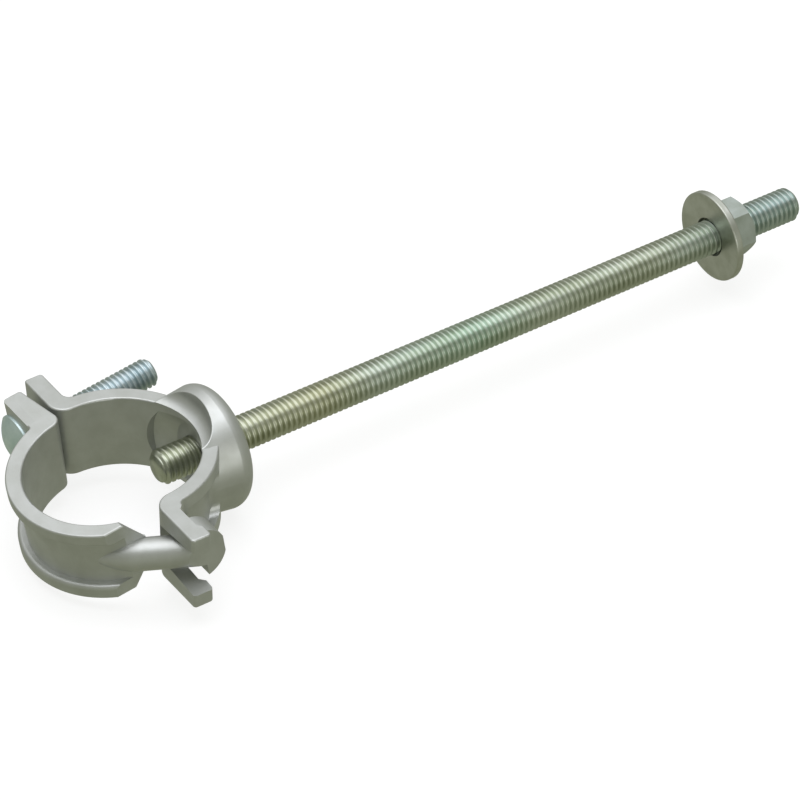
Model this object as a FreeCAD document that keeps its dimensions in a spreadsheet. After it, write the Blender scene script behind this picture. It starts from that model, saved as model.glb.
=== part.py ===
"""Adjustable pipe support: a two-piece die-cast pipe ring on a threaded wall rod.

Frame, in millimetres: the origin is the middle of the pipe ring, +Z runs along
the pipe, +Y along the rod away from the ring, +X towards the hooked side of the
ring.  The strap hangs loosely in its hook and on its bolt, as it does before
the ring is tightened on a pipe.
"""
import FreeCAD
import Part
import Sketcher
import math
import os

doc = FreeCAD.newDocument("pipe_support")

sheet = doc.addObject("Spreadsheet::Sheet", "dims")

SIZES = (
    # pipe ring, shared by both castings
    ("ring_radius", 21.1),
    ("flange_radius", 25.4),
    ("web_thickness", 2.0),
    ("ring_height", 22.0),
    ("flange_thickness", 4.0),
    ("edge_round", 0.5),
    ("corner_round", 0.9),
    ("ear_draft", 3.6),
    # saddle: the half that carries the rod
    ("ear_edge", 7.87),
    ("ear_face", 5.3),
    ("ear_fillet", 2.4),
    ("ear_mouth_round", 4.5),
    ("ear_web", 2.1),
    ("ear_channel", 17.6),
    ("prong_reach", 40.4),
    ("prong_mouth_round", 5.2),
    ("prong_face", 3.2),
    ("prong_back", 2.45),
    ("prong_fillet", 1.8),
    ("slot_root", 24.0),
    ("slot_root_gap", 10.8),
    ("slot_end_gap", 14.2),
    ("seat_depth", 1.45),
    ("seat_start", 28.0),
    ("seat_length", 9.0),
    ("channel_right", 5.2),
    # boss that takes the rod
    ("boss_root_radius", 15.2),
    ("boss_radius", 17.0),
    ("boss_back", 31.2),
    ("boss_round", 4.4),
    ("boss_edge_round", 0.3),
    ("boss_root_fillet", 2.5),
    ("cove_radius", 4.2),
    ("cove_inset", 1.0),
    ("pocket_floor", 22.3),
    ("pocket_floor_radius", 8.2),
    ("pocket_radius", 13.4),
    ("pocket_depth", 3.9),
    # rod, washer and wall nut
    ("rod_diameter", 9.525),
    ("rod_length", 203.2),
    ("rod_tip", 11.0),
    ("rod_chamfer", 0.9),
    ("thread_clearance", 0.05),
    ("washer_face", 186.4),
    ("washer_diameter", 25.4),
    ("washer_bore", 11.1),
    ("washer_thickness", 2.1),
    ("washer_round", 0.35),
    ("wall_nut_width", 14.29),
    ("wall_nut_height", 8.33),
    ("wall_nut_turn", 22.3),
    # strap: the half that hooks into the fork and carries the bolt
    ("strap_x", 2.87),
    ("strap_y", 4.09),
    ("strap_z", 0.11),
    ("strap_sag", 8.0),
    ("strap_ear_edge", 5.2),
    ("strap_ear_face", 2.35),
    ("strap_ear_rise", 0.168),
    ("strap_ear_front", 7.65),
    ("strap_ear_fillet", 0.8),
    ("strap_mouth_round", 2.9),
    ("strap_lip_round", 1.2),
    ("strap_bevel_width", 2.3),
    ("strap_bevel_drop", 0.35),
    ("strap_end", 21.6),
    ("strap_end_back", 2.6),
    ("channel_end", 19.5),
    ("shoulder_start", 8.2),
    ("shoulder_end", 2.9),
    ("arm_radius", 4.25),
    ("arm_angle", 56.0),
    ("arm_x", 25.4),
    ("arm_y", 1.25),
    ("arm_nose_start", 5.0),
    ("arm_nose_length", 12.5),
    ("hook_face", 7.2),
    ("hook_depth", 6.1),
    ("hook_height", 15.0),
    ("hook_start", 26.6),
    ("hook_length", 6.4),
    # clamp bolt and nut
    ("nut_gap", 0.48),
    ("bolt_diameter", 7.94),
    ("bolt_length", 40.2),
    ("bolt_chamfer", 0.9),
    ("bolt_head_diameter", 15.3),
    ("bolt_head_height", 3.7),
    ("bolt_head_rim", 0.5),
    ("bolt_neck_width", 7.94),
    ("bolt_neck_length", 4.4),
    ("bolt_neck_clearance", 0.15),
    ("bolt_hole_diameter", 10.2),
    ("clamp_nut_width", 12.7),
    ("clamp_nut_height", 4.76),
    ("clamp_nut_seat", 2.0),
)


class Size:
    """A size that carries its value and the sheet expression it comes from."""

    def __init__(self, value, text):
        self.value = float(value)
        self.text = text

    @staticmethod
    def of(other):
        """Return other as a Size or Loose, wrapping a plain number."""
        if isinstance(other, (Size, Loose)):
            return other
        return Size(other, repr(float(other)))

    def __add__(self, other):
        other = Size.of(other)
        return Size(self.value + other.value, "(%s + %s)" % (self.text, other.text))

    def __sub__(self, other):
        other = Size.of(other)
        return Size(self.value - other.value, "(%s - %s)" % (self.text, other.text))

    def __mul__(self, other):
        other = Size.of(other)
        return Size(self.value * other.value, "(%s * %s)" % (self.text, other.text))

    def __truediv__(self, other):
        other = Size.of(other)
        return Size(self.value / other.value, "(%s / %s)" % (self.text, other.text))

    def __neg__(self):
        return Size(-self.value, "(0 - %s)" % self.text)


class Loose:
    """A coordinate that the curve it lies on decides; the value is a start."""

    def __init__(self, value):
        self.value = float(value)


for row, (alias, number) in enumerate(SIZES, start=1):
    sheet.set("A%d" % row, alias)
    sheet.set("B%d" % row, str(number))
    sheet.setAlias("B%d" % row, alias)
doc.recompute()


def size(alias):
    """Return the named size of the sheet."""
    return Size(sheet.get(alias), "dims.%s" % alias)


def half(alias):
    """Return half of the named size."""
    return size(alias) / 2


def on_circle(radius, offset):
    """Return the other coordinate of a point on a circle about the origin."""
    return math.sqrt(max(radius.value ** 2 - offset.value ** 2, 1e-6))


def plane(body, role):
    """Return the origin plane or axis of a body by its role."""
    for feature in body.Origin.OriginFeatures:
        if feature.Role == role:
            return feature
    raise ValueError(role)


def new_body(label):
    """Add a body that carries one piece."""
    body = doc.addObject("PartDesign::Body", label)
    body.Label = label
    return body


def new_sketch(body, role, name, lift=None):
    """Attach a sketch to an origin plane, lifted along the plane's normal."""
    sketch = body.newObject("Sketcher::SketchObject", name)
    sketch.AttachmentSupport = (plane(body, role), [""])
    sketch.MapMode = "FlatFace"
    if lift is not None:
        sketch.AttachmentOffset = FreeCAD.Placement(
            FreeCAD.Vector(0, 0, lift.value), FreeCAD.Rotation())
        sketch.setExpression(".AttachmentOffset.Base.z", lift.text)
    return sketch


def pin(sketch, geometry, end, axis, coordinate):
    """Fix one coordinate of a sketch point to its size."""
    if isinstance(coordinate, Loose):
        return
    coordinate = Size.of(coordinate)
    if abs(coordinate.value) < 1e-9 and coordinate.text == "0.0":
        kind = "PointOnObject"
        sketch.addConstraint(Sketcher.Constraint(
            kind, geometry, end, -2 if axis == "X" else -1))
        return
    if coordinate.value >= 0:
        points = (-1, 1, geometry, end)
        text = coordinate.text
    else:
        points = (geometry, end, -1, 1)
        text = (-coordinate).text
    index = sketch.addConstraint(Sketcher.Constraint(
        "Distance" + axis, *points, abs(coordinate.value)))
    sketch.setExpression("Constraints[%d]" % index, text)


def fix_radius(sketch, geometry, radius):
    """Tie the radius of a circle or arc to its size."""
    index = sketch.addConstraint(Sketcher.Constraint("Radius", geometry, radius.value))
    sketch.setExpression("Constraints[%d]" % index, radius.text)


def outline(sketch, points, arcs=None):
    """Draw a closed outline.

    points lists the corners in order; arcs maps the index of a side to the
    centre of its arc, whether the arc runs anticlockwise, and its radius where
    the corners leave that open.
    """
    arcs = arcs or {}
    first = sketch.GeometryCount
    count = len(points)
    spots = [FreeCAD.Vector(Size.of(x).value, Size.of(y).value, 0) for x, y in points]
    ends = []
    for side in range(count):
        start, stop = spots[side], spots[(side + 1) % count]
        if side not in arcs:
            sketch.addGeometry(Part.LineSegment(start, stop), False)
            ends.append((1, 2))
            continue
        centre, anticlockwise = arcs[side][:2]
        middle = FreeCAD.Vector(Size.of(centre[0]).value, Size.of(centre[1]).value, 0)
        low, high = (start, stop) if anticlockwise else (stop, start)
        begin = math.atan2(low.y - middle.y, low.x - middle.x)
        finish = math.atan2(high.y - middle.y, high.x - middle.x)
        if finish <= begin:
            finish += 2 * math.pi
        circle = Part.Circle(middle, FreeCAD.Vector(0, 0, 1), (start - middle).Length)
        sketch.addGeometry(Part.ArcOfCircle(circle, begin, finish), False)
        ends.append((1, 2) if anticlockwise else (2, 1))
    for side in range(count):
        follow = (side + 1) % count
        sketch.addConstraint(Sketcher.Constraint(
            "Coincident", first + side, ends[side][1], first + follow, ends[follow][0]))
    for side, corner in enumerate(points):
        for axis, coordinate in zip("XY", corner):
            pin(sketch, first + side, ends[side][0], axis, coordinate)
    for side, arc in arcs.items():
        for axis, coordinate in zip("XY", arc[0]):
            pin(sketch, first + side, 3, axis, coordinate)
        if len(arc) == 3:
            fix_radius(sketch, first + side, arc[2])


def circle(sketch, x, y, radius):
    """Draw a circle with its centre and radius tied to sizes."""
    index = sketch.addGeometry(Part.Circle(
        FreeCAD.Vector(Size.of(x).value, Size.of(y).value, 0),
        FreeCAD.Vector(0, 0, 1), radius.value), False)
    pin(sketch, index, 3, "X", x)
    pin(sketch, index, 3, "Y", y)
    fix_radius(sketch, index, radius)


def pad(body, sketch, length, symmetric=False, reverse=False):
    """Pad a sketch by a size."""
    feature = body.newObject("PartDesign::Pad", sketch.Name + "_pad")
    feature.Profile = sketch
    feature.SideType = "Symmetric" if symmetric else "One side"
    feature.Reversed = reverse
    feature.setExpression("Length", length.text)
    doc.recompute()
    return feature


def cut(body, sketch, length=None, symmetric=False, reverse=False):
    """Pocket a sketch by a size, or right through both ways without one."""
    before = body.Shape.Volume
    feature = body.newObject("PartDesign::Pocket", sketch.Name + "_cut")
    feature.Profile = sketch
    through = length is None
    feature.SideType = "Symmetric" if symmetric or through else "One side"
    feature.Reversed = reverse
    feature.setExpression("Length", (wide * 2).text if through else length.text)
    doc.recompute()
    if body.Shape.Volume >= before - 1e-6:
        raise ValueError("%s removes nothing" % feature.Name)
    return feature


def turn(body, sketch, axis, remove=False):
    """Revolve a sketch about an axis, adding or removing material."""
    before = body.Shape.Volume if body.Shape and not body.Shape.isNull() else 0.0
    kind = "PartDesign::Groove" if remove else "PartDesign::Revolution"
    feature = body.newObject(kind, sketch.Name + "_turn")
    feature.Profile = sketch
    feature.ReferenceAxis = axis
    feature.Angle = 360.0
    doc.recompute()
    after = body.Shape.Volume
    if (after >= before) == remove:
        raise ValueError("%s changes nothing" % feature.Name)
    return feature


def round_edges(body, name, test, radius):
    """Fillet the edges of the body's tip that pass a test."""
    base = body.Tip
    chosen = ["Edge%d" % number for number, edge in enumerate(base.Shape.Edges, start=1)
              if test(edge)]
    if not chosen:
        raise ValueError("%s finds no edge" % name)
    feature = body.newObject("PartDesign::Fillet", name)
    feature.Base = (base, chosen)
    feature.setExpression("Radius", radius.text)
    doc.recompute()
    if feature.Shape.isNull() or not feature.Shape.isValid():
        raise ValueError("%s failed" % name)
    return feature


def upright_at(x, y):
    """Return a test for an upright edge at a place in the plan."""
    def test(edge):
        box = edge.BoundBox
        middle = edge.CenterOfMass
        return (box.ZLength > 1.0 and abs(middle.x - x) < 0.9 and abs(middle.y - y) < 0.9)
    return test


def level_at(height):
    """Return a test for edges that lie level at a height, above or below."""
    def test(edge):
        box = edge.BoundBox
        return box.ZLength < 1e-4 and abs(abs(box.ZMax) - height) < 1e-4
    return test


def draft_face(body, name, spot, angle):
    """Lean the upright face at a spot back from the top downwards."""
    base = body.Tip
    faces = base.Shape.Faces
    point = Part.Vertex(FreeCAD.Vector(*spot))
    side = min(range(len(faces)), key=lambda i: faces[i].distToShape(point)[0])
    top = max(range(len(faces)), key=lambda i: faces[i].CenterOfMass.z)
    before = base.Shape.Volume
    feature = body.newObject("PartDesign::Draft", name)
    feature.Base = (base, ["Face%d" % (side + 1)])
    feature.NeutralPlane = (base, ["Face%d" % (top + 1)])
    feature.setExpression("Angle", angle.text)
    doc.recompute()
    if feature.Shape.Volume > before:
        feature.Reversed = True
        doc.recompute()
    return feature


ring = size("ring_radius")
flange = size("flange_radius")
web = ring + size("web_thickness")
height = size("ring_height")
channel_height = height - size("flange_thickness") * 2
bolt_offset = web + half("clamp_nut_width") + size("nut_gap")
ear_reach = bolt_offset + size("ear_edge")
bolt_x = size("strap_x") + bolt_offset
strap_ear_reach = bolt_x + size("strap_ear_edge")
wide = ear_reach + flange


# Saddle: half ring with top and bottom flanges, an ear on the bolt side with a channel
# for the nut, a fork on the hook side, and the round boss that the rod screws through.
saddle = new_body("clamp_saddle")

plan = new_sketch(saddle, "XY_Plane", "saddle_plan")
outline(plan, [
    (-ear_reach, -size("ear_face")),
    (0, -size("ear_face")),
    (0, -size("prong_face")),
    (size("prong_reach"), -size("prong_face")),
    (size("prong_reach"), size("prong_back")),
    (Loose(on_circle(flange, size("prong_back"))), size("prong_back")),
    (-flange, 0),
    (-ear_reach, 0),
], arcs={5: ((0, 0), True)})
pad(saddle, plan, height, symmetric=True)
draft_face(saddle, "saddle_ear_draft",
           (-(ear_reach.value + ring.value) / 2, -size("ear_face").value, 0),
           size("ear_draft"))

mouth = new_sketch(saddle, "XY_Plane", "saddle_mouth")
outline(mouth, [
    (ring, 0),
    (Loose(-ring.value), 0),
    (-ring, -flange),
    (ring, -flange),
], arcs={0: ((0, 0), True)})
cut(saddle, mouth)
ear_mid = size("ear_face").value - height.value / 2 * math.tan(math.radians(size("ear_draft").value))
round_edges(saddle, "saddle_mouth_left", upright_at(-ring.value, -ear_mid),
            size("ear_mouth_round"))
round_edges(saddle, "saddle_mouth_right", upright_at(ring.value, -size("prong_face").value),
            size("prong_mouth_round"))
round_edges(saddle, "saddle_ear_corner", upright_at(-flange.value, 0), size("ear_fillet"))
round_edges(saddle, "saddle_prong_corner",
            upright_at(on_circle(flange, size("prong_back")), size("prong_back").value),
            size("prong_fillet"))
round_edges(saddle, "saddle_ends",
            lambda edge: (edge.BoundBox.ZLength > 1.0 and (
                abs(edge.CenterOfMass.x + ear_reach.value) < 0.5
                or abs(edge.CenterOfMass.x - size("prong_reach").value) < 0.5)),
            size("corner_round"))
round_edges(saddle, "saddle_edges", level_at(height.value / 2), size("edge_round"))

channel = new_sketch(saddle, "XY_Plane", "saddle_channel")
outline(channel, [
    (Loose(on_circle(web, size("channel_right"))), size("channel_right")),
    (Loose(-web.value), 0),
    (-wide, 0),
    (-wide, wide),
    (wide, wide),
    (wide, size("channel_right")),
], arcs={0: ((0, 0), True, web)})
cut(saddle, channel, channel_height, symmetric=True)

ear_floor = size("ear_web") - size("ear_face")
ear_recess = new_sketch(saddle, "XY_Plane", "saddle_ear_recess")
outline(ear_recess, [
    (-wide, ear_floor),
    (-web, ear_floor),
    (-web, 0),
    (-wide, 0),
])
cut(saddle, ear_recess, size("ear_channel"), symmetric=True)

slot = new_sketch(saddle, "XZ_Plane", "saddle_fork")
outline(slot, [
    (size("slot_root"), -half("slot_root_gap")),
    (size("prong_reach") + 1, -half("slot_end_gap")),
    (size("prong_reach") + 1, half("slot_end_gap")),
    (size("slot_root"), half("slot_root_gap")),
])
cut(saddle, slot, size("channel_right") * 2 + 1, symmetric=True)

seat_floor = size("prong_back") - size("seat_depth")
seat = new_sketch(saddle, "XY_Plane", "saddle_seat")
outline(seat, [
    (size("seat_start"), seat_floor),
    (size("seat_start") + size("seat_length") - size("seat_depth"), seat_floor),
    (size("seat_start") + size("seat_length") + 0.5, size("prong_back") + 0.5),
    (size("seat_start") - size("seat_depth") - 0.5, size("prong_back") + 0.5),
])
cut(saddle, seat)

boss_start = size("pocket_floor") - ring / 2
boss_edge = size("boss_radius") - size("boss_round")
boss = new_sketch(saddle, "XY_Plane", "saddle_boss")
outline(boss, [
    (0, boss_start),
    (size("boss_root_radius"), boss_start),
    (Loose(size("boss_radius").value), size("boss_back") - size("boss_round")),
    (boss_edge, size("boss_back")),
    (0, size("boss_back")),
], arcs={2: ((boss_edge, size("boss_back") - size("boss_round")), True)})
turn(saddle, boss, (plane(saddle, "Y_Axis"), [""]))

trim = new_sketch(saddle, "XY_Plane", "saddle_trim")
outline(trim, [
    (ring, 0),
    (Loose(-ring.value), 0),
    (-ring, -flange),
    (ring, -flange),
], arcs={0: ((0, 0), True)})
cut(saddle, trim)

cove_start = ring - size("cove_inset")
cove_end = cove_start + size("cove_radius")
cove = new_sketch(saddle, "XZ_Plane", "saddle_cove")
for sign in (1, -1):
    outline(cove, [
        (0, half("ring_height") * sign),
        (cove_start, half("ring_height") * sign),
        (Loose(cove_end.value), (half("ring_height") + size("cove_radius")) * sign),
        (cove_end, size("boss_radius") * sign + sign),
        (0, size("boss_radius") * sign + sign),
    ], arcs={1: ((cove_start, (half("ring_height") + size("cove_radius")) * sign), sign > 0)})
turn(saddle, cove, (plane(saddle, "Z_Axis"), [""]), remove=True)


def middle_of(edge):
    """Return the point half way along an edge."""
    return edge.valueAt((edge.FirstParameter + edge.LastParameter) / 2)


def boss_crest(edge):
    """Find the curved crest where the boss stands up over the flanges."""
    middle = middle_of(edge)
    reach = math.hypot(middle.x, middle.z)
    return (abs(middle.z) > (height / 2 + 0.3).value and middle.y < cove_end.value + 0.5
            and reach > size("boss_root_radius").value + 0.2)


def boss_root(edge):
    """Find the corner between the tapered side of the boss and the channel of the ring."""
    middle = middle_of(edge)
    side_end = size("boss_back") - size("boss_round")
    share = (middle.y - boss_start.value) / (side_end - boss_start).value
    taper = (size("boss_radius") - size("boss_root_radius")).value
    reach = math.hypot(middle.x, middle.z) - size("boss_root_radius").value - share * taper
    return share < 0.6 and abs(reach) < 0.08 and abs(middle.z) < channel_height.value / 2 + 0.05


round_edges(saddle, "saddle_boss_crest", boss_crest, size("boss_edge_round"))
round_edges(saddle, "saddle_boss_root", boss_root, size("boss_root_fillet"))

pocket = new_sketch(saddle, "XY_Plane", "saddle_pocket")
outline(pocket, [
    (0, 0),
    (size("pocket_radius"), 0),
    (size("pocket_radius"), size("pocket_floor") - size("pocket_depth")),
    (size("pocket_floor_radius"), size("pocket_floor")),
    (0, size("pocket_floor")),
])
turn(saddle, pocket, (plane(saddle, "Y_Axis"), [""]), remove=True)

rod_hole = half("rod_diameter") + size("thread_clearance")
bore = new_sketch(saddle, "XZ_Plane", "saddle_bore")
circle(bore, 0, 0, rod_hole)
cut(saddle, bore)

bolt_hole = new_sketch(saddle, "XZ_Plane", "saddle_bolt_hole")
circle(bolt_hole, -bolt_offset, 0, half("bolt_hole_diameter"))
cut(saddle, bolt_hole)


# Strap: the other half of the ring, with the bolt ear at one end and at the other
# a round arm that ends in a half-moon hook behind the prongs of the fork.
strap = new_body("clamp_strap")

ear_face = size("strap_ear_face")
ear_rise = size("strap_ear_rise")
band = new_sketch(strap, "XY_Plane", "strap_plan")
outline(band, [
    (-strap_ear_reach, -ear_face),
    (-half("ring_radius"), (strap_ear_reach - half("ring_radius")) * ear_rise - ear_face),
    (half("ring_radius"), -size("strap_end_back")),
    (size("strap_end"), -size("strap_end_back")),
    (size("strap_end"), Loose(-on_circle(flange, size("strap_end")))),
    (Loose(-on_circle(flange, size("strap_ear_front"))), -size("strap_ear_front")),
    (-strap_ear_reach, -size("strap_ear_front")),
], arcs={4: ((0, 0), False, flange)})
pad(strap, band, height, symmetric=True)
ear_middle = (strap_ear_reach.value + flange.value) / 2
ear_middle_face = (strap_ear_reach.value - ear_middle) * ear_rise.value - ear_face.value
draft_face(strap, "strap_ear_draft", (-ear_middle, ear_middle_face, 0), size("ear_draft"))

throat = new_sketch(strap, "XY_Plane", "strap_throat")
circle(throat, 0, 0, ring)
cut(strap, throat)


def strap_mouth(edge):
    """Find the upright corner where the ear face meets the inside of the ring."""
    middle = edge.CenterOfMass
    return (edge.BoundBox.ZLength > 1.0 and -ring.value - 0.3 < middle.x < -ring.value * 0.9
            and middle.y > -size("strap_ear_front").value / 2)


round_edges(strap, "strap_mouth", strap_mouth, size("strap_mouth_round"))
round_edges(strap, "strap_ear_corner",
            upright_at(-on_circle(flange, size("strap_ear_front")), -size("strap_ear_front").value),
            size("strap_ear_fillet"))
round_edges(strap, "strap_ends",
            lambda edge: (edge.BoundBox.ZLength > 1.0
                          and abs(edge.CenterOfMass.x + strap_ear_reach.value) < 0.5),
            size("corner_round"))

groove = new_sketch(strap, "XY_Plane", "strap_channel")
outline(groove, [
    (-size("channel_end"), Loose(-on_circle(web, size("channel_end")))),
    (Loose(on_circle(web, size("strap_end_back"))), -size("strap_end_back")),
    (wide, -size("strap_end_back")),
    (wide, -wide),
    (-size("channel_end"), -wide),
], arcs={0: ((0, 0), True, web)})
cut(strap, groove, channel_height, symmetric=True)

shoulder_low = size("arm_radius") * 0.96
shoulder = new_sketch(strap, "YZ_Plane", "strap_shoulder", half("ring_radius"))
for sign in (1, -1):
    top = half("ring_height") * sign
    outline(shoulder, [
        (-size("shoulder_start"), top),
        (-size("shoulder_start"), top + sign),
        (size("shoulder_end"), top + sign),
        (size("shoulder_end"), shoulder_low * sign),
        (-size("shoulder_end"), shoulder_low * sign),
    ])
cut(strap, shoulder, flange * 2, reverse=True)
round_edges(strap, "strap_edges", level_at(height.value / 2), size("edge_round"))

bevel = new_sketch(strap, "YZ_Plane", "strap_bevel", -flange)
outline(bevel, [
    (size("strap_bevel_width") - size("strap_ear_front"), half("ring_height")),
    (-size("strap_ear_front") - size("strap_bevel_width"),
     half("ring_height") - size("strap_bevel_drop") * 2),
    (-size("strap_ear_front") - size("strap_bevel_width"), half("ring_height") + 1),
    (size("strap_bevel_width") - size("strap_ear_front"), half("ring_height") + 1),
])
cut(strap, bevel, flange, reverse=False)



def strap_lip(edge):
    """Find the outer edges of the flanges on the side of the channel."""
    middle = middle_of(edge)
    return (edge.BoundBox.ZLength < 1e-4 and abs(abs(middle.z) - channel_height.value / 2) < 1e-3
            and abs(math.hypot(middle.x, middle.y) - flange.value) < 0.05)


round_edges(strap, "strap_lips", strap_lip, size("strap_lip_round"))

arm_length = size("hook_face") + size("hook_depth") + size("arm_y")
arm = new_sketch(strap, "XY_Plane", "strap_arm")
arm.AttachmentOffset = FreeCAD.Placement(
    FreeCAD.Vector(size("arm_x").value, -size("arm_y").value, 0),
    FreeCAD.Rotation(FreeCAD.Vector(0, 0, 1), size("arm_angle").value))
arm.setExpression(".AttachmentOffset.Base.x", size("arm_x").text)
arm.setExpression(".AttachmentOffset.Base.y", (-size("arm_y")).text)
arm.setExpression(".AttachmentOffset.Rotation.Angle", size("arm_angle").text)
nose = size("arm_nose_length")
nose_round = (nose * nose + size("arm_radius") * size("arm_radius")) / (size("arm_radius") * 2)
outline(arm, [
    (-size("arm_nose_start") - nose, 0),
    (arm_length, 0),
    (arm_length, size("arm_radius")),
    (-size("arm_nose_start"), Loose(size("arm_radius").value)),
], arcs={3: ((-size("arm_nose_start"), size("arm_radius") - nose_round), True)})
turn(strap, arm, (arm, ["H_Axis"]))

hook = new_sketch(strap, "YZ_Plane", "strap_hook", size("hook_start"))
hook_round = (half("hook_height") * half("hook_height") + size("hook_depth") * size("hook_depth")) / (
    size("hook_depth") * 2)
outline(hook, [
    (size("hook_face"), -half("hook_height")),
    (size("hook_face"), Loose(half("hook_height").value)),
], arcs={1: ((size("hook_face") + size("hook_depth") - hook_round, 0), False)})
pad(strap, hook, size("hook_length"))

hook_flat = new_sketch(strap, "YZ_Plane", "strap_hook_flat", size("hook_start") + size("hook_length"))
outline(hook_flat, [
    (-flange, -flange),
    (flange, -flange),
    (flange, flange),
    (-flange, flange),
])
cut(strap, hook_flat, flange, reverse=True)

behind = new_sketch(strap, "XZ_Plane", "strap_hook_back",
                    -(size("hook_face") + size("hook_depth") - 0.4))
outline(behind, [
    (0, -flange),
    (size("hook_start") + flange, -flange),
    (size("hook_start") + flange, flange),
    (0, flange),
])
cut(strap, behind, flange)

clear = new_sketch(strap, "XY_Plane", "strap_clear")
circle(clear, 0, 0, ring)
cut(strap, clear)

neck_hole = half("bolt_neck_width") + size("bolt_neck_clearance")
square = new_sketch(strap, "XZ_Plane", "strap_neck_hole")
outline(square, [
    (-bolt_x - neck_hole, -neck_hole),
    (-bolt_x + neck_hole, -neck_hole),
    (-bolt_x + neck_hole, neck_hole),
    (-bolt_x - neck_hole, neck_hole),
])
cut(strap, square)


def hang(body, across):
    """Place a body in the hanging frame of the strap, shifted across it."""
    body.Placement = FreeCAD.Placement(
        FreeCAD.Vector(across.value, -size("strap_y").value, size("strap_z").value),
        FreeCAD.Rotation(FreeCAD.Vector(1, 0, 0), size("strap_sag").value))
    body.setExpression(".Placement.Base.x", across.text)
    body.setExpression(".Placement.Base.y", (-size("strap_y")).text)
    body.setExpression(".Placement.Base.z", size("strap_z").text)
    body.setExpression(".Placement.Rotation.Angle", size("strap_sag").text)


hang(strap, size("strap_x"))


# Clamp bolt: round domed head, square neck in the strap's ear, plain shank.
bolt = new_body("clamp_bolt")
under = -size("strap_ear_front")
bolt_tip = under + size("bolt_length")
dome = size("bolt_head_height") - size("bolt_head_rim")
dome_round = (half("bolt_head_diameter") * half("bolt_head_diameter") + dome * dome) / (dome * 2)
shank = new_sketch(bolt, "XY_Plane", "bolt_profile")
outline(shank, [
    (0, under - size("bolt_head_height")),
    (half("bolt_head_diameter"), Loose((under - size("bolt_head_rim")).value)),
    (half("bolt_head_diameter"), under),
    (half("bolt_diameter"), under),
    (half("bolt_diameter"), bolt_tip - size("bolt_chamfer")),
    (half("bolt_diameter") - size("bolt_chamfer"), bolt_tip),
    (0, bolt_tip),
], arcs={0: ((0, under - size("bolt_head_height") + dome_round), True)})
turn(bolt, shank, (plane(bolt, "Y_Axis"), [""]))
neck = new_sketch(bolt, "XZ_Plane", "bolt_neck", -under)
outline(neck, [
    (-half("bolt_neck_width"), -half("bolt_neck_width")),
    (half("bolt_neck_width"), -half("bolt_neck_width")),
    (half("bolt_neck_width"), half("bolt_neck_width")),
    (-half("bolt_neck_width"), half("bolt_neck_width")),
])
pad(bolt, neck, size("bolt_neck_length"), reverse=True)
hang(bolt, -bolt_offset)


def hex_nut(label, width, tall, hole, start, on_corner=False):
    """Build a hexagon nut along +Y with both faces chamfered.

    Args:
        label: name of the piece.
        width: size across the flats.
        tall: size along the thread.
        hole: radius of the tapped hole.
        start: place of the near face on the thread's axis.
        on_corner: whether a corner points up instead of a flat.
    """
    body = new_body(label)
    reach = half(width)
    corner = reach * (2 / math.sqrt(3))
    face = new_sketch(body, "XZ_Plane", label + "_hexagon", -start)
    corners = [
        (-corner / 2, -reach), (corner / 2, -reach), (corner, 0),
        (corner / 2, reach), (-corner / 2, reach), (-corner, 0),
    ]
    if on_corner:
        corners = [(up, across) for across, up in corners]
    outline(face, corners)
    circle(face, 0, 0, hole)
    pad(body, face, size(tall), reverse=True)
    slope = (corner - reach) * 0.6
    shape = new_sketch(body, "XY_Plane", label + "_chamfer")
    outline(shape, [
        (reach, start), (corner + 1, start), (corner + 1, start + slope + 0.6)])
    finish = start + size(tall)
    outline(shape, [
        (reach, finish), (corner + 1, finish), (corner + 1, finish - slope - 0.6)])
    turn(body, shape, (plane(body, "Y_Axis"), [""]), remove=True)
    return body


clamp_nut = hex_nut("clamp_nut", "clamp_nut_width", "clamp_nut_height",
                    half("bolt_diameter") + size("thread_clearance"), size("clamp_nut_seat"),
                    on_corner=True)
hang(clamp_nut, -bolt_offset)


# Rod: full-length thread, drawn as its major cylinder with chamfered ends.
rod = new_body("threaded_rod")
rod_end = size("rod_tip") + size("rod_length")
stem = new_sketch(rod, "XY_Plane", "rod_profile")
outline(stem, [
    (0, size("rod_tip")),
    (half("rod_diameter") - size("rod_chamfer"), size("rod_tip")),
    (half("rod_diameter"), size("rod_tip") + size("rod_chamfer")),
    (half("rod_diameter"), rod_end - size("rod_chamfer")),
    (half("rod_diameter") - size("rod_chamfer"), rod_end),
    (0, rod_end),
])
turn(rod, stem, (plane(rod, "Y_Axis"), [""]))


# Flat washer and wall nut on the free end of the rod.
washer = new_body("wall_washer")
disc = new_sketch(washer, "XZ_Plane", "washer_ring", -size("washer_face"))
circle(disc, 0, 0, half("washer_diameter"))
circle(disc, 0, 0, half("washer_bore"))
pad(washer, disc, size("washer_thickness"), reverse=True)
round_edges(washer, "washer_edge",
            lambda edge: edge.BoundBox.XLength > (size("washer_diameter") - 1).value,
            size("washer_round"))

wall_nut = hex_nut("wall_nut", "wall_nut_width", "wall_nut_height", rod_hole,
                   size("washer_face") + size("washer_thickness"))
wall_nut.Placement = FreeCAD.Placement(
    FreeCAD.Vector(0, 0, 0), FreeCAD.Rotation(FreeCAD.Vector(0, 1, 0), size("wall_nut_turn").value))
wall_nut.setExpression(".Placement.Rotation.Angle", size("wall_nut_turn").text)

doc.recompute()

pieces = (saddle, strap, bolt, clamp_nut, rod, washer, wall_nut)
for item in doc.Objects:
    if "Invalid" in item.State or "Error" in item.State:
        raise RuntimeError("%s did not rebuild: %s" % (item.Label, item.State))
for piece in pieces:
    shape = piece.Shape
    if shape.isNull() or not shape.isValid() or len(shape.Solids) != 1:
        raise RuntimeError("%s is not one sound solid" % piece.Label)

os.makedirs("parts", exist_ok=True)
for piece in pieces:
    piece.Shape.exportStep("parts/%s.step" % piece.Label)
    print("%-14s %9.1f mm3" % (piece.Label, piece.Shape.Volume))
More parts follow.
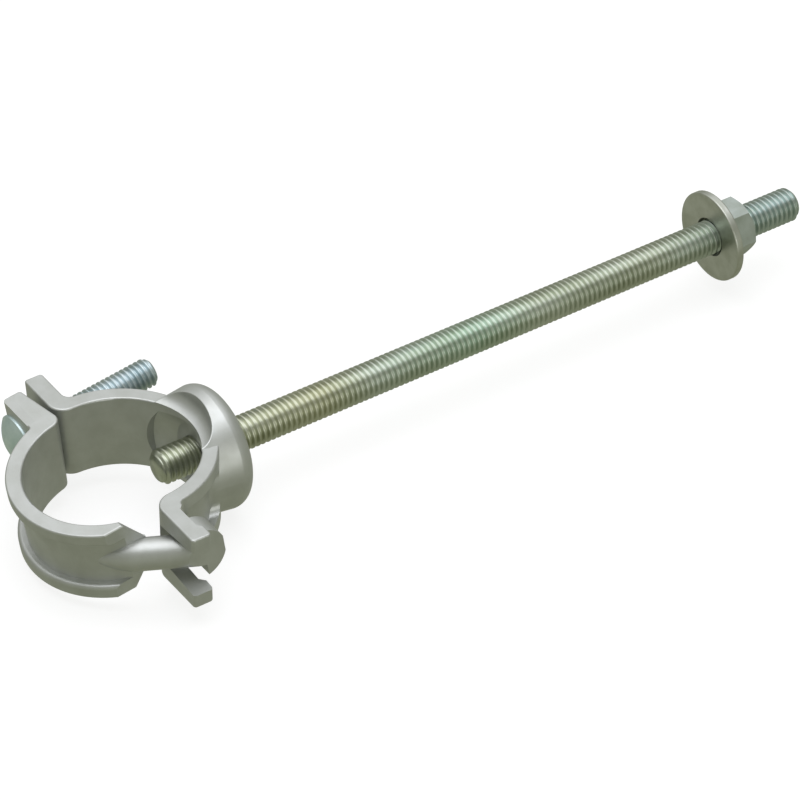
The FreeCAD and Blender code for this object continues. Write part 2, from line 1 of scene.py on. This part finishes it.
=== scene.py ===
"""Looks of an adjustable pipe support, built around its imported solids.

The castings, the washer and the clamp nut keep their solids and get their
finishes here. The rod and the clamp bolt are replaced by pieces with real
helical threads, and the wall nut by one at the turn that the photograph shows.
Everything is in metres in the frame of the solids: the origin is the middle of
the pipe ring, +Z runs along the pipe and +Y along the rod towards the wall.
"""
import logging
import math
from dataclasses import dataclass
from enum import Enum
from typing import Any

import bmesh
import bpy
import numpy as np
from mathutils import Matrix, Vector


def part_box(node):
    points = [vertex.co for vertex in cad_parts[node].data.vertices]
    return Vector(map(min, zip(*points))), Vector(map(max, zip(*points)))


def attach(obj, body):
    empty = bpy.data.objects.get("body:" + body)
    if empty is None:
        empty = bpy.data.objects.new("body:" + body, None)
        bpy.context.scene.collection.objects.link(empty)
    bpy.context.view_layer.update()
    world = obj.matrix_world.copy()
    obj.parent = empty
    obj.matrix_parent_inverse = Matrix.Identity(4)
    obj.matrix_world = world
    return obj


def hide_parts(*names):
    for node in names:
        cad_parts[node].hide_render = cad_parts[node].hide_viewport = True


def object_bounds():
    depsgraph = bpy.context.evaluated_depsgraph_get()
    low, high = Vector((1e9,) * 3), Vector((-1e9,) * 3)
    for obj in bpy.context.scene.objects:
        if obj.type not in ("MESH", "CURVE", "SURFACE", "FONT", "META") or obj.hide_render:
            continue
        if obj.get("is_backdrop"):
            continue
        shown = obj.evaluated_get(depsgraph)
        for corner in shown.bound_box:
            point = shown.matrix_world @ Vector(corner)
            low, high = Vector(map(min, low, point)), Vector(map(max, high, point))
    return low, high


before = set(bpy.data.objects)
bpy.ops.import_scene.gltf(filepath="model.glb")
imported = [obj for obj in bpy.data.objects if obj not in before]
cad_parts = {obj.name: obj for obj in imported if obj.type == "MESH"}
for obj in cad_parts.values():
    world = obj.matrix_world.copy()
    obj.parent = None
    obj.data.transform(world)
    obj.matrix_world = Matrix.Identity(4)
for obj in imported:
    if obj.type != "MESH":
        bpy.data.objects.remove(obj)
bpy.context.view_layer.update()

Point = tuple[float, float, float]
Stops = tuple[tuple[float, str], ...]
Surface = tuple[np.ndarray, np.ndarray]

LOG = logging.getLogger("pipe_support")
MM = 0.001
# Points nearer to each other than this are one point.
MERGE_METRES = 1e-7
# A thread's quad that spans less than this along the axis lies past its end.
FLAT_MM = 1e-9


def linear(hex_colour: str) -> tuple[float, float, float, float]:
    """Turn an sRGB hex value into linear colour.

    Dark values are divided by 12.92; the others follow the sRGB power curve.

    Args:
        hex_colour: six hex digits.

    Returns:
        Red, green and blue in linear light, and an alpha of one.
    """
    srgb = np.array([int(hex_colour[k:k + 2], 16) for k in (0, 2, 4)]) / 255.0
    light = np.where(srgb <= 0.04045, srgb / 12.92, ((srgb + 0.055) / 1.055) ** 2.4)
    return (float(light[0]), float(light[1]), float(light[2]), 1.0)


def add_node(tree: bpy.types.NodeTree, kind: str, settings: dict[str, Any] | None = None,
             stops: Stops = (), **inputs: Any) -> bpy.types.Node:
    """Add a node, set its options, and set or link its inputs.

    Args:
        tree: node tree to add to.
        kind: Blender's type name of the node.
        settings: attributes of the node to set first.
        stops: place and sRGB hex colour of each stop, on a node that holds a colour ramp.
        **inputs: values or output sockets by input name, spaces as underscores.

    Returns:
        The new node.
    """
    node = tree.nodes.new(kind)
    for name, value in (settings or {}).items():
        setattr(node, name, value)
    for count, (place, colour) in enumerate(stops):
        elements = node.color_ramp.elements
        element = elements[count] if count < len(elements) else elements.new(place)
        element.position = place
        element.color = linear(colour)
    for name, value in inputs.items():
        socket = node.inputs[name.replace("_", " ")]
        if isinstance(value, bpy.types.NodeSocket):
            tree.links.new(value, socket)
        else:
            socket.default_value = value
    return node


def empty_material(name: str) -> bpy.types.Material:
    """Make a material whose node tree is still empty.

    Args:
        name: name of the material.

    Returns:
        The new material.
    """
    material = bpy.data.materials.new(name)
    material.use_nodes = True
    material.node_tree.nodes.clear()
    return material


@dataclass(frozen=True)
class CastFinish:
    """Die-cast light alloy, tumbled and left bare.

    The eye sees a soft satin sheen, a faint cloudy mottle from the melt and a
    fine orange-peel skin from the mould. A thin oxide dulls the metal a little,
    so it is not fully metallic.
    """

    name: str = "die_cast_alloy_satin"
    pale: str = "C6C8C6"
    deep: str = "B9BBB7"
    metallic: float = 0.80
    roughness: float = 0.42
    roughness_swing: float = 0.05
    mottle_mm: float = 7.0
    mottle_span: tuple[float, float] = (0.3, 0.7)
    skin_mm: float = 0.55
    skin_strength: float = 0.10
    skin_depth_mm: float = 0.05

    def make(self) -> bpy.types.Material:
        """Build the material.

        Returns:
            The new material.
        """
        material = empty_material(self.name)
        tree = material.node_tree
        place = add_node(tree, "ShaderNodeTexCoord").outputs["Object"]
        mottle = add_node(tree, "ShaderNodeTexNoise", Vector=place,
                          Scale=1.0 / (self.mottle_mm * MM), Detail=4.0, Roughness=0.6)
        skin = add_node(tree, "ShaderNodeTexNoise", Vector=place,
                        Scale=1.0 / (self.skin_mm * MM), Detail=2.0, Roughness=0.5)
        low, high = self.mottle_span
        colour = add_node(tree, "ShaderNodeValToRGB", Fac=mottle.outputs["Fac"],
                          stops=((low, self.deep), (high, self.pale)))
        rough = add_node(tree, "ShaderNodeMapRange", Value=mottle.outputs["Fac"],
                         To_Min=self.roughness + self.roughness_swing,
                         To_Max=self.roughness - self.roughness_swing)
        bump = add_node(tree, "ShaderNodeBump", Height=skin.outputs["Fac"],
                        Strength=self.skin_strength, Distance=self.skin_depth_mm * MM)
        shader = add_node(tree, "ShaderNodeBsdfPrincipled", Base_Color=colour.outputs["Color"],
                          Metallic=self.metallic, Roughness=rough.outputs["Result"],
                          Normal=bump.outputs["Normal"])
        add_node(tree, "ShaderNodeOutputMaterial", Surface=shader.outputs["BSDF"])
        return material


@dataclass(frozen=True)
class ZincFinish:
    """Electroplated zinc with a thin passivation film.

    The eye sees a bright semi-gloss metal with a faint cloud of tint where the
    film is thicker, and drawing or machining marks under it, which are drawn
    coarser than the real ones so that they show. The film's colour changes along
    the piece, and on a long piece the clouds are drawn out that way too. Each
    film colour has its place along +Y in millimetres. On the bolt, the change
    along +Y is a painted reflection that makes the head paler than the shank.
    """

    name: str
    film_and_reflection: Stops
    cloud: str
    roughness: float = 0.34
    smoother: float = 0.05
    rougher: float = 0.07
    cloud_mm: float = 4.0
    cloud_span: tuple[float, float] = (0.32, 0.68)
    stretch: float = 1.0
    grain_mm: float = 0.35
    grain_strength: float = 0.04
    grain_depth_mm: float = 0.02

    def make(self) -> bpy.types.Material:
        """Build the material.

        Returns:
            The new material.
        """
        material = empty_material(self.name)
        tree = material.node_tree
        place = add_node(tree, "ShaderNodeTexCoord").outputs["Object"]
        drawn = add_node(tree, "ShaderNodeMapping", Vector=place,
                         Scale=(1.0, 1.0 / self.stretch, 1.0))
        cloud = add_node(tree, "ShaderNodeTexNoise", Vector=drawn.outputs["Vector"],
                         Scale=1.0 / (self.cloud_mm * MM), Detail=3.0, Roughness=0.55)
        grain = add_node(tree, "ShaderNodeTexNoise", Vector=place,
                         Scale=1.0 / (self.grain_mm * MM), Detail=2.0, Roughness=0.6)
        first, last = self.film_and_reflection[0][0], self.film_and_reflection[-1][0]
        along = add_node(tree, "ShaderNodeSeparateXYZ", Vector=place).outputs["Y"]
        share = add_node(tree, "ShaderNodeMapRange", Value=along,
                         From_Min=first * MM, From_Max=last * MM)
        tones = tuple(((at - first) / (last - first), tone) for at, tone in self.film_and_reflection)
        film_and_reflection = add_node(tree, "ShaderNodeValToRGB", Fac=share.outputs["Result"], stops=tones)
        low, high = self.cloud_span
        thick = add_node(tree, "ShaderNodeValToRGB", Fac=cloud.outputs["Fac"],
                         stops=((low, self.cloud), (high, "FFFFFF")))
        colour = add_node(tree, "ShaderNodeMixRGB", {"blend_type": "MULTIPLY"}, Fac=1.0,
                          Color1=film_and_reflection.outputs["Color"], Color2=thick.outputs["Color"])
        rough = add_node(tree, "ShaderNodeMapRange", Value=grain.outputs["Fac"],
                         To_Min=self.roughness - self.smoother,
                         To_Max=self.roughness + self.rougher)
        bump = add_node(tree, "ShaderNodeBump", Height=grain.outputs["Fac"],
                        Strength=self.grain_strength, Distance=self.grain_depth_mm * MM)
        shader = add_node(tree, "ShaderNodeBsdfPrincipled", Base_Color=colour.outputs["Color"],
                          Metallic=1.0, Roughness=rough.outputs["Result"],
                          Normal=bump.outputs["Normal"])
        add_node(tree, "ShaderNodeOutputMaterial", Surface=shader.outputs["BSDF"])
        return material


class Finish(Enum):
    """Which finish a piece has.

    The bolt's head is painted paler than its shank: a painted reflection of the
    pale floor below it, which is left out of reflections. The rod is olive near
    the ring, green about half way along and blue-grey at its free end. The washer
    is a little warmer than the nut behind it.
    """

    CAST = CastFinish()
    # The bolt's head, below -11.5 mm on +Y, gets the paler first colour: a painted reflection of
    # the pale floor, which the metal doesn't see; the shank gets the second.
    BRIGHT = ZincFinish("clear_bright_zinc", film_and_reflection=((-11.5, "DEEEF0"), (-9.0, "C8D3D6")),
                        cloud="E4EAEB", roughness=0.40)
    TINTED = ZincFinish("olive_passivated_zinc",
                        film_and_reflection=((11.0, "CCD0C3"), (60.0, "CECFBB"), (76.0, "CCD3CA"),
                              (108.0, "C6D6CA"), (128.0, "CDD3C8"), (165.0, "CCD1C5"),
                              (200.0, "BFCCCB")),
                        cloud="E2E3D9", roughness=0.30, stretch=6.0)
    PLAIN = ZincFinish("grey_passivated_zinc", film_and_reflection=((188.3, "C9CBC4"), (188.8, "BCC4C0")),
                       cloud="E7E8E3")


Finishes = dict[Finish, bpy.types.Material]


def dress(node: str, material: bpy.types.Material) -> bpy.types.Object:
    """Give a solid its finish.

    Args:
        node: name of the solid.
        material: finish to put in all its slots.

    Returns:
        The solid's object.
    """
    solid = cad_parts[node]
    if not solid.material_slots:
        solid.data.materials.append(material)
    for holder in solid.material_slots:
        holder.material = material
    return solid


def make_piece(name: str, surface: Surface, material: bpy.types.Material,
               sharp_deg: float) -> bpy.types.Object:
    """Put a surface into a mesh object, merged, capped and shaded.

    Args:
        name: name of the piece.
        surface: points in millimetres, and quads by point number.
        material: finish of the piece.
        sharp_deg: edges that turn by more than this stay sharp.

    Returns:
        The new object, linked into the scene.
    """
    points, faces = surface
    mesh = bpy.data.meshes.new(name)
    mesh.from_pydata(points * MM, [], faces.tolist())
    work = bmesh.new()
    work.from_mesh(mesh)
    bmesh.ops.remove_doubles(work, verts=work.verts, dist=MERGE_METRES)
    rim = [edge for edge in work.edges if edge.is_boundary]
    bmesh.ops.holes_fill(work, edges=rim, sides=0)
    bmesh.ops.recalc_face_normals(work, faces=work.faces)
    work.to_mesh(mesh)
    work.free()
    mesh.shade_smooth()
    mesh.set_sharp_from_angle(angle=math.radians(sharp_deg))
    mesh.materials.append(material)
    piece = bpy.data.objects.new(name, mesh)
    bpy.context.scene.collection.objects.link(piece)
    return piece


def circle(steps: int) -> np.ndarray:
    """Give the angles that divide a full turn evenly into a number of steps."""
    return 2.0 * np.pi * np.arange(steps) / steps


def around_axis(radius: np.ndarray, height: np.ndarray, angle: np.ndarray) -> Surface:
    """Carry a profile round +Y.

    At angle a, a point stands at (radius * sin a, height, radius * cos a). Rows
    follow the profile, and each row closes on itself.

    Args:
        radius: radii by row and angle, or one for each row.
        height: heights by row and angle, or one for each row.
        angle: angle of each column.

    Returns:
        Points and quads, in the profile's own unit.
    """
    radius, height, angle = np.broadcast_arrays(radius, height, angle)
    points = np.stack((radius * np.sin(angle), height, radius * np.cos(angle)), axis=-1)
    rows, columns = radius.shape
    down, across = np.meshgrid(np.arange(rows - 1), np.arange(columns), indexing="ij")
    follow = (across + 1) % columns
    quads = np.stack((down * columns + across, down * columns + follow,
                      (down + 1) * columns + follow, (down + 1) * columns + across), axis=-1)
    return points.reshape(-1, 3), quads.reshape(-1, 4)


def join_surfaces(surfaces: list[Surface]) -> Surface:
    """Put several surfaces into one.

    Args:
        surfaces: points and quads of each surface.

    Returns:
        All points and all quads, renumbered.
    """
    starts = np.cumsum([0] + [len(points) for points, _ in surfaces[:-1]])
    points = np.concatenate([points for points, _ in surfaces])
    faces = np.concatenate([faces + start for (_, faces), start in zip(surfaces, starts)])
    return points, faces


@dataclass
class ScrewThread:
    """A rolled right-hand thread about +Y, in millimetres.

    Its profile is a root, a flank, a crest and a flank. Widths are shares of one
    pitch. Root and crest are rounded at both edges: round_lift is the share of
    the depth by which the profile leaves the flat at each round_inset.
    """

    radius: float
    pitch: float
    start: float
    end: float
    chamfer: float
    steps: int = 36
    spare_turns: int = 2
    depth_share: float = 0.54
    root_width: float = 0.25
    crest_start: float = 0.46
    crest_width: float = 0.33
    round_inset: tuple[float, ...] = (0.00, 0.03, 0.07)
    round_lift: tuple[float, ...] = (0.09, 0.02, 0.00)

    def profile(self) -> tuple[np.ndarray, np.ndarray]:
        """Work out one pitch of the profile, with the crest rounded as the root is.

        Returns:
            Place of each point as a share of the pitch, and its rise from root to crest.
        """
        inset, lift = np.array(self.round_inset), np.array(self.round_lift)
        root = np.concatenate((inset, self.root_width - inset[::-1]))
        crest = self.crest_start + np.concatenate((inset, self.crest_width - inset[::-1]))
        edges = np.concatenate((lift, lift[::-1]))
        return np.concatenate((root, crest)), np.concatenate((edges, 1.0 - edges))

    def surface(self) -> Surface:
        """Work out the thread as one helical strip.

        A point is at angle a and height start + pitch * (a / 360 + s), where s is
        its share of one pitch; its radius follows the thread's profile at s, and
        near the ends it is cut down to a 45 degree cone. The last point of one
        turn joins the first point of the next, and the spare turns at both ends
        are pressed flat and left out.

        Returns:
            Points in millimetres and quads.
        """
        share, rise = self.profile()
        wide = len(share)
        turns = math.ceil((self.end - self.start) / self.pitch) + self.spare_turns
        count = turns * self.steps + 1
        around = np.arange(count)[:, None] / self.steps
        height = np.clip(self.start + self.pitch * (around + share - 1.0), self.start, self.end)
        from_end = np.minimum(height - self.start, self.end - height)
        depth = self.depth_share * self.pitch * (1.0 - rise)
        reach = np.minimum(self.radius - depth, self.radius - self.chamfer + from_end)
        angle = 2.0 * np.pi * around
        points = np.stack((reach * np.sin(angle), height, reach * np.cos(angle)), axis=-1)
        step, place = np.meshgrid(np.arange(count - self.steps - 1), np.arange(wide), indexing="ij")
        last = place == wide - 1
        follow = np.where(last, step + self.steps, step)
        after = np.where(last, 0, place + 1)
        quads = np.stack((step * wide + place, (step + 1) * wide + place,
                          (follow + 1) * wide + after, follow * wide + after), axis=-1)
        quads = quads.reshape(-1, 4)
        alive = np.ptp(height.reshape(-1)[quads], axis=1) > FLAT_MM
        return points.reshape(-1, 3), quads[alive]


@dataclass
class PipeRing:
    """The two castings of the ring."""

    nodes: tuple[str, ...] = ("clamp_saddle", "clamp_strap")

    def build(self, finishes: Finishes) -> list[bpy.types.Object]:
        """Dress the castings.

        Args:
            finishes: the support's finishes.

        Returns:
            The dressed castings.
        """
        return [dress(node, finishes[Finish.CAST]) for node in self.nodes]


@dataclass
class ClampBolt:
    """Round-headed square-neck bolt that hangs in the strap's ear, in millimetres.

    It is worked out along +Y about its own axis, and then moved to its place and
    tipped by the strap's sag.
    """

    radius: float = 7.94 / 2
    pitch: float = 1.411
    place: Point = (-29.93, -4.09, 0.11)
    sag_deg: float = 8.0
    under_head: float = -7.65
    length: float = 40.2
    chamfer: float = 1.1
    thread_gap: float = 1.0
    head_radius: float = 15.3 / 2
    head_height: float = 3.7
    head_rim: float = 0.5
    head_steps: int = 64
    dome_share: float = 0.97
    dome_points: int = 18
    rim_start: float = 0.15
    rim_points: int = 6
    seat_share: float = 0.5
    neck_half: float = 7.94 / 2
    neck_length: float = 4.4
    neck_corner: float = 1.30
    neck_sunk: float = 0.2
    neck_bevel: float = 0.5
    neck_end_share: float = 0.93
    neck_steps: int = 48
    sharp_deg: float = 48.0

    def head(self) -> Surface:
        """Work out the domed head as a turned profile with a softened rim.

        The dome is a circle arc from the crown to just short of the rim; the rim
        is a quarter ellipse down to the flat underside.

        Returns:
            Points in millimetres and quads.
        """
        dome = self.head_height - self.head_rim
        curve = (self.head_radius ** 2 + dome ** 2) / (2.0 * dome)
        sweep = np.linspace(0.0, math.asin(self.head_radius / curve) * self.dome_share,
                            self.dome_points)
        crown = self.under_head - self.head_height
        arc = np.stack((curve * np.sin(sweep), crown + curve * (1.0 - np.cos(sweep))), axis=-1)
        turn = np.linspace(self.rim_start, 1.0, self.rim_points) * np.pi / 2
        inset, drop = self.head_radius - arc[-1, 0], self.under_head - arc[-1, 1]
        rim = np.stack((arc[-1, 0] + inset * np.sin(turn),
                        self.under_head - drop * np.cos(turn)), axis=-1)
        seat = np.array([[self.radius * self.seat_share, self.under_head], [0.0, self.under_head]])
        profile = np.concatenate((arc, rim, seat))
        return around_axis(profile[:, :1], profile[:, 1:], circle(self.head_steps))

    def neck(self) -> Surface:
        """Work out the square neck, closed at both ends.

        At angle a the square stands at half / max(|sin a|, |cos a|), cut short at
        its corners; it is carried along the axis and drawn in at its end.

        Returns:
            Points in millimetres and quads.
        """
        angle = circle(self.neck_steps)
        side = np.maximum(np.abs(np.sin(angle)), np.abs(np.cos(angle)))
        square = np.minimum(self.neck_half / side, self.neck_half * self.neck_corner)
        share = np.array([0.0, 1.0, 1.0, self.neck_end_share, 0.0])
        height = np.array([-self.neck_sunk, -self.neck_sunk, self.neck_length - self.neck_bevel,
                           self.neck_length, self.neck_length])
        return around_axis(share[:, None] * square, self.under_head + height[:, None], angle)

    def build(self, finishes: Finishes) -> list[bpy.types.Object]:
        """Build the bolt in its hanging place and dress its nut.

        Args:
            finishes: the support's finishes.

        Returns:
            The bolt and the nut.
        """
        thread = ScrewThread(self.radius, self.pitch, self.under_head + self.thread_gap,
                             self.under_head + self.length, self.chamfer)
        points, faces = join_surfaces([self.head(), self.neck(), thread.surface()])
        sag = math.radians(self.sag_deg)
        turn = np.array([[1.0, 0.0, 0.0],
                         [0.0, math.cos(sag), -math.sin(sag)],
                         [0.0, math.sin(sag), math.cos(sag)]])
        hung = (points @ turn.T + np.array(self.place), faces)
        bolt = make_piece("bolt_thread", hung, finishes[Finish.BRIGHT], self.sharp_deg)
        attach(bolt, "strap")
        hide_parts("clamp_bolt")
        return [bolt, dress("clamp_nut", finishes[Finish.BRIGHT])]


@dataclass
class WallNut:
    """Hex nut behind the washer, chamfered on both faces, in millimetres.

    One of its corners stands turn_deg from +Z towards +X.
    """

    across: float = 14.29
    turn_deg: float = 33.0
    face_share: float = 0.95
    chamfer_deg: float = 30.0
    bore_radius: float = 4.81
    countersink: float = 0.45
    steps: int = 72
    sharp_deg: float = 25.0

    def surface(self) -> Surface:
        """Work out the nut as one closed skin round its bore.

        At angle a the sides stand at flat / cos(a - middle of the flat); a cone
        from a circle just inside the flats takes the corners off both faces.

        Returns:
            Points in millimetres and quads.
        """
        low, high = (corner[1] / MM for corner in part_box("wall_nut"))
        flat = self.across / 2
        angle = circle(self.steps)
        side = flat / np.cos(np.mod(angle, np.pi / 3) - np.pi / 6)
        ring = np.ones(self.steps)
        face = flat * self.face_share * ring
        bore = self.bore_radius * ring
        mouth = bore + self.countersink
        drop = (side - face) * math.tan(math.radians(self.chamfer_deg))
        radius = np.stack((bore, mouth, face, side, side, face, mouth, bore, bore))
        height = np.stack(((low + self.countersink) * ring, low * ring, low * ring, low + drop,
                           high - drop, high * ring, high * ring,
                           (high - self.countersink) * ring, (low + self.countersink) * ring))
        return around_axis(radius, height, angle + math.radians(self.turn_deg))

    def build(self, finishes: Finishes) -> bpy.types.Object:
        """Build the nut where its solid is.

        Args:
            finishes: the support's finishes.

        Returns:
            The nut.
        """
        nut = make_piece("wall_nut_hex", self.surface(), finishes[Finish.PLAIN], self.sharp_deg)
        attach(nut, "wall_fixing")
        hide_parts("wall_nut")
        return nut


@dataclass
class WallRod:
    """The long threaded rod and what is screwed onto its free end, in millimetres."""

    radius: float = 4.7625
    pitch: float = 1.5875
    tip: float = 11.0
    length: float = 203.2
    chamfer: float = 1.15
    sharp_deg: float = 50.0

    def build(self, finishes: Finishes) -> list[bpy.types.Object]:
        """Build the threaded rod and its nut, and dress the washer.

        Args:
            finishes: the support's finishes.

        Returns:
            The rod, the washer and the nut.
        """
        thread = ScrewThread(self.radius, self.pitch, self.tip, self.tip + self.length,
                             self.chamfer)
        rod = make_piece("rod_thread", thread.surface(), finishes[Finish.TINTED], self.sharp_deg)
        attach(rod, "rod")
        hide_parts("threaded_rod")
        washer = dress("wall_washer", finishes[Finish.PLAIN])
        return [rod, washer, WallNut().build(finishes)]


@dataclass(frozen=True)
class SoftLight:
    """A square soft light: its place and side in metres, its power and its sRGB colour."""

    name: str
    place: Point
    side: float
    watts: float
    colour: str

    def hang(self, aim: Point) -> None:
        """Hang the light.

        Args:
            aim: the point it faces.
        """
        lamp = bpy.data.lights.new(self.name, "AREA")
        lamp.color = linear(self.colour)[:3]
        lamp.size = self.side
        lamp.energy = self.watts
        holder = bpy.data.objects.new(self.name, lamp)
        holder.location = self.place
        facing = Vector(aim) - Vector(self.place)
        holder.rotation_euler = facing.to_track_quat("-Z", "Y").to_euler()
        bpy.context.scene.collection.objects.link(holder)


@dataclass
class Studio:
    """Pale floor, a tent that is bright above and dim around, and the photograph's camera.

    The floor glows a little and is left out of reflections, so that it stays
    pale and doesn't show in the metal. The sky's stops run from straight below
    to straight above, leant by sky_tilt_deg.
    """

    floor_gap: float = 0.0005
    floor_size: float = 6.0
    floor_colour: str = "8A8A8A"
    floor_roughness: float = 0.9
    floor_glow: str = "FFFFFF"
    floor_glow_strength: float = 0.8
    sky: Stops = ((0.0, "828571"), (0.35, "929586"), (0.70, "8C8E84"), (0.86, "BEC0BD"),
                  (1.0, "F2F3F3"))
    sky_tilt_deg: Point = (5.8, 20.6, 0.0)
    sky_strength: float = 1.3
    lights: tuple[SoftLight, ...] = (SoftLight("key", (0.02, 0.0, 1.3), 1.3, 7.9, "F6F7FF"),
                                     SoftLight("fill", (1.3, 0.1, 0.3), 0.9, 2.8, "FFFFFF"))
    aim: Point = (0.0, 0.05, 0.0)
    camera_place: Point = (0.79789, -0.45267, 0.76411)
    forward: Point = (-0.6456, 0.4355, -0.6273)
    lens_mm: float = 211.98
    sensor_mm: float = 36.0
    clip: tuple[float, float] = (0.01, 20.0)

    def lay_floor(self) -> None:
        """Lay a plain pale floor just under the object."""
        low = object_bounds()[0].z - self.floor_gap
        half = self.floor_size / 2
        mesh = bpy.data.meshes.new("floor")
        mesh.from_pydata([(-half, -half, low), (half, -half, low),
                          (half, half, low), (-half, half, low)], [], [(0, 1, 2, 3)])
        material = empty_material("pale_paper")
        tree = material.node_tree
        shader = add_node(tree, "ShaderNodeBsdfPrincipled", Base_Color=linear(self.floor_colour),
                          Roughness=self.floor_roughness, Emission_Color=linear(self.floor_glow),
                          Emission_Strength=self.floor_glow_strength)
        add_node(tree, "ShaderNodeOutputMaterial", Surface=shader.outputs["BSDF"])
        mesh.materials.append(material)
        floor = bpy.data.objects.new("floor", mesh)
        floor.visible_glossy = False
        floor.visible_diffuse = False
        bpy.context.scene.collection.objects.link(floor)
        floor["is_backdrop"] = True

    def raise_tent(self) -> None:
        """Put the tent round the scene: a world whose colour goes by height, leant over."""
        world = bpy.data.worlds.new("studio")
        world.use_nodes = True
        tree = world.node_tree
        tree.nodes.clear()
        ray = add_node(tree, "ShaderNodeTexCoord").outputs["Generated"]
        leant = add_node(tree, "ShaderNodeMapping", {"vector_type": "VECTOR"}, Vector=ray,
                         Rotation=tuple(math.radians(angle) for angle in self.sky_tilt_deg))
        up = add_node(tree, "ShaderNodeSeparateXYZ", Vector=leant.outputs["Vector"]).outputs["Z"]
        share = add_node(tree, "ShaderNodeMapRange", Value=up, From_Min=-1.0)
        sky = add_node(tree, "ShaderNodeValToRGB", Fac=share.outputs["Result"], stops=self.sky)
        back = add_node(tree, "ShaderNodeBackground", Color=sky.outputs["Color"],
                        Strength=self.sky_strength)
        add_node(tree, "ShaderNodeOutputWorld", Surface=back.outputs["Background"])
        bpy.context.scene.world = world

    def set_camera(self) -> None:
        """Put the camera where the photograph was taken from."""
        lens = bpy.data.cameras.new("photo_camera")
        lens.lens = self.lens_mm
        lens.sensor_width = self.sensor_mm
        lens.clip_start, lens.clip_end = self.clip
        holder = bpy.data.objects.new("photo_camera", lens)
        forward = Vector(self.forward).normalized()
        side = forward.cross(Vector((0.0, 0.0, 1.0))).normalized()
        above = side.cross(forward)
        turn = Matrix((side, above, -forward)).transposed().to_4x4()
        holder.matrix_world = Matrix.Translation(self.camera_place) @ turn
        bpy.context.scene.collection.objects.link(holder)
        bpy.context.scene.camera = holder

    def build(self) -> None:
        """Build the stage around the object."""
        self.lay_floor()
        self.raise_tent()
        for light in self.lights:
            light.hang(self.aim)
        self.set_camera()
        bpy.context.scene.view_settings.view_transform = "Standard"


def main() -> None:
    """Build the support piece by piece, then the stage."""
    logging.basicConfig(level=logging.INFO, format="%(name)s %(message)s")
    finishes = {finish: finish.value.make() for finish in Finish}
    for assembly in (PipeRing(), ClampBolt(), WallRod()):
        for piece in assembly.build(finishes):
            LOG.info("%s: %d faces, %s", piece.name, len(piece.data.polygons),
                     piece.material_slots[0].material.name)
    Studio().build()


if __name__ == "__main__":
    main()
